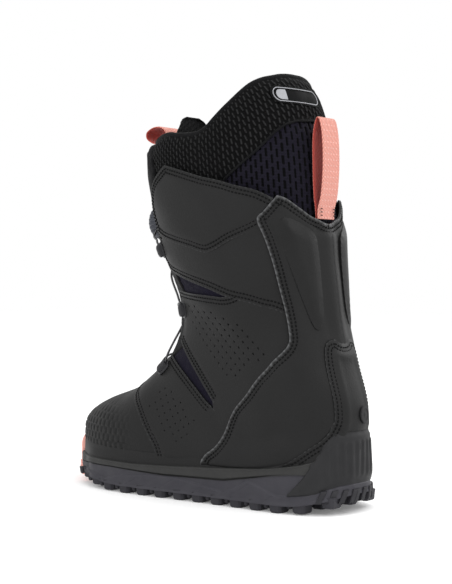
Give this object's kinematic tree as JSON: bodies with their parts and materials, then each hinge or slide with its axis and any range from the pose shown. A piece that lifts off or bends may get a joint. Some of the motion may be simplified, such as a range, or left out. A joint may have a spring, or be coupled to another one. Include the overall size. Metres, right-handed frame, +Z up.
{
  "type": "snowboard boot",
  "caption": "Left snowboard boot with a flexing cuff, dial-and-lace closure, removable-style inner boot, lugged sole and two webbing pull loops.",
  "frame": {"origin": "middle of the footprint's box on the ground, under the boot", "axes": "+Z up along the leg, -Y towards the toe, +X towards the outer side of the left foot"},
  "size_m": [0.1128, 0.266, 0.3048],
  "materials": {
    "rubber": "black moulded rubber, slightly worn",
    "rubber_toe": "pink moulded rubber",
    "sole_foam": "purple-grey moulded foam",
    "steel": "brushed steel",
    "leather_toe": "black coated leather with a raised hexagon pattern",
    "leather": "black coated leather, fine grain",
    "board": "pressed fibre board",
    "stretch_navy": "dark navy stretch textile",
    "knit": "black textured knit over foam",
    "mesh_navy": "dark navy spacer mesh",
    "lace": "black coated steel lace",
    "plastic": "black moulded plastic",
    "webbing": "pink woven webbing",
    "label": "soft moulded label, dark and light grey"
  },
  "bodies": {
    "root": {"outsole": "rubber", "outsole_toe": "rubber_toe", "midsole": "sole_foam", "shank": "steel", "toe_cap": "leather_toe", "vamp": "leather", "heel_stay": "leather", "ankle_panel_lateral": "leather", "ankle_panel_medial": "leather", "quarter_lateral": "leather", "quarter_medial": "leather", "lasting_board": "board", "toe_puff": "board", "heel_counter": "board", "shell_lining": "stretch_navy", "flex_gaiter": "stretch_navy", "tongue_base": "stretch_navy", "liner_foot": "knit", "footbed": "board", "heel_wrap": "rubber", "heel_badge": "rubber", "lace": "lace", "lace_guide_ankle_lateral": "plastic", "lace_guide_ankle_medial": "plastic", "lace_guide_vamp_lateral": "plastic", "lace_guide_vamp_medial": "plastic"},
    "cuff": {"cuff_flap_lower_lateral": "leather", "cuff_flap_lower_medial": "leather", "cuff_flap_upper_lateral": "leather", "cuff_flap_upper_medial": "leather", "backstay_lateral": "leather", "backstay_medial": "leather", "backstay_pad_lateral": "leather", "backstay_pad_medial": "leather", "cuff_lining": "stretch_navy", "tongue": "stretch_navy", "liner_cuff": "knit", "liner_mesh_panel": "mesh_navy", "liner_collar": "knit", "liner_tongue": "knit", "liner_label": "label", "lace_guide_flap_lateral": "plastic", "lace_guide_flap_medial": "plastic", "dial_housing": "plastic", "dial_screw": "steel"},
    "spool": {"dial_spool": "steel"},
    "knob": {"dial_knob": "plastic", "dial_pawl_ring": "plastic"},
    "rear_loop": {"rear_pull_loop": "webbing"},
    "front_loop": {"front_pull_loop": "webbing"}
  },
  "joints": [
    {"name": "cuff_flex", "type": "hinge", "parent": "root", "child": "cuff", "pos_m": [0, 0.061, 0.143], "axis": [1, 0, 0], "range_deg": [0, 10], "stiffness_Nm_per_rad": 40, "deforming": ["flex_gaiter", "lace"]},
    {"name": "dial_turn", "type": "hinge", "parent": "cuff", "child": "spool", "pos_m": [0.00025, -0.0359, 0.201], "axis": [0, -1, 0], "continuous": true},
    {"name": "dial_pull", "type": "slide", "parent": "spool", "child": "knob", "axis": [0, -1, 0], "range_m": [0, 0.0025]},
    {"name": "rear_loop_fold", "type": "hinge", "parent": "cuff", "child": "rear_loop", "pos_m": [0, 0.1038, 0.1997], "axis": [-1, 0, 0], "range_deg": [0, 110], "stiffness_Nm_per_rad": 0.03},
    {"name": "front_loop_fold", "type": "hinge", "parent": "cuff", "child": "front_loop", "pos_m": [0, -0.036, 0.2589], "axis": [1, 0, 0], "range_deg": [0, 40], "stiffness_Nm_per_rad": 0.02}
  ]
}
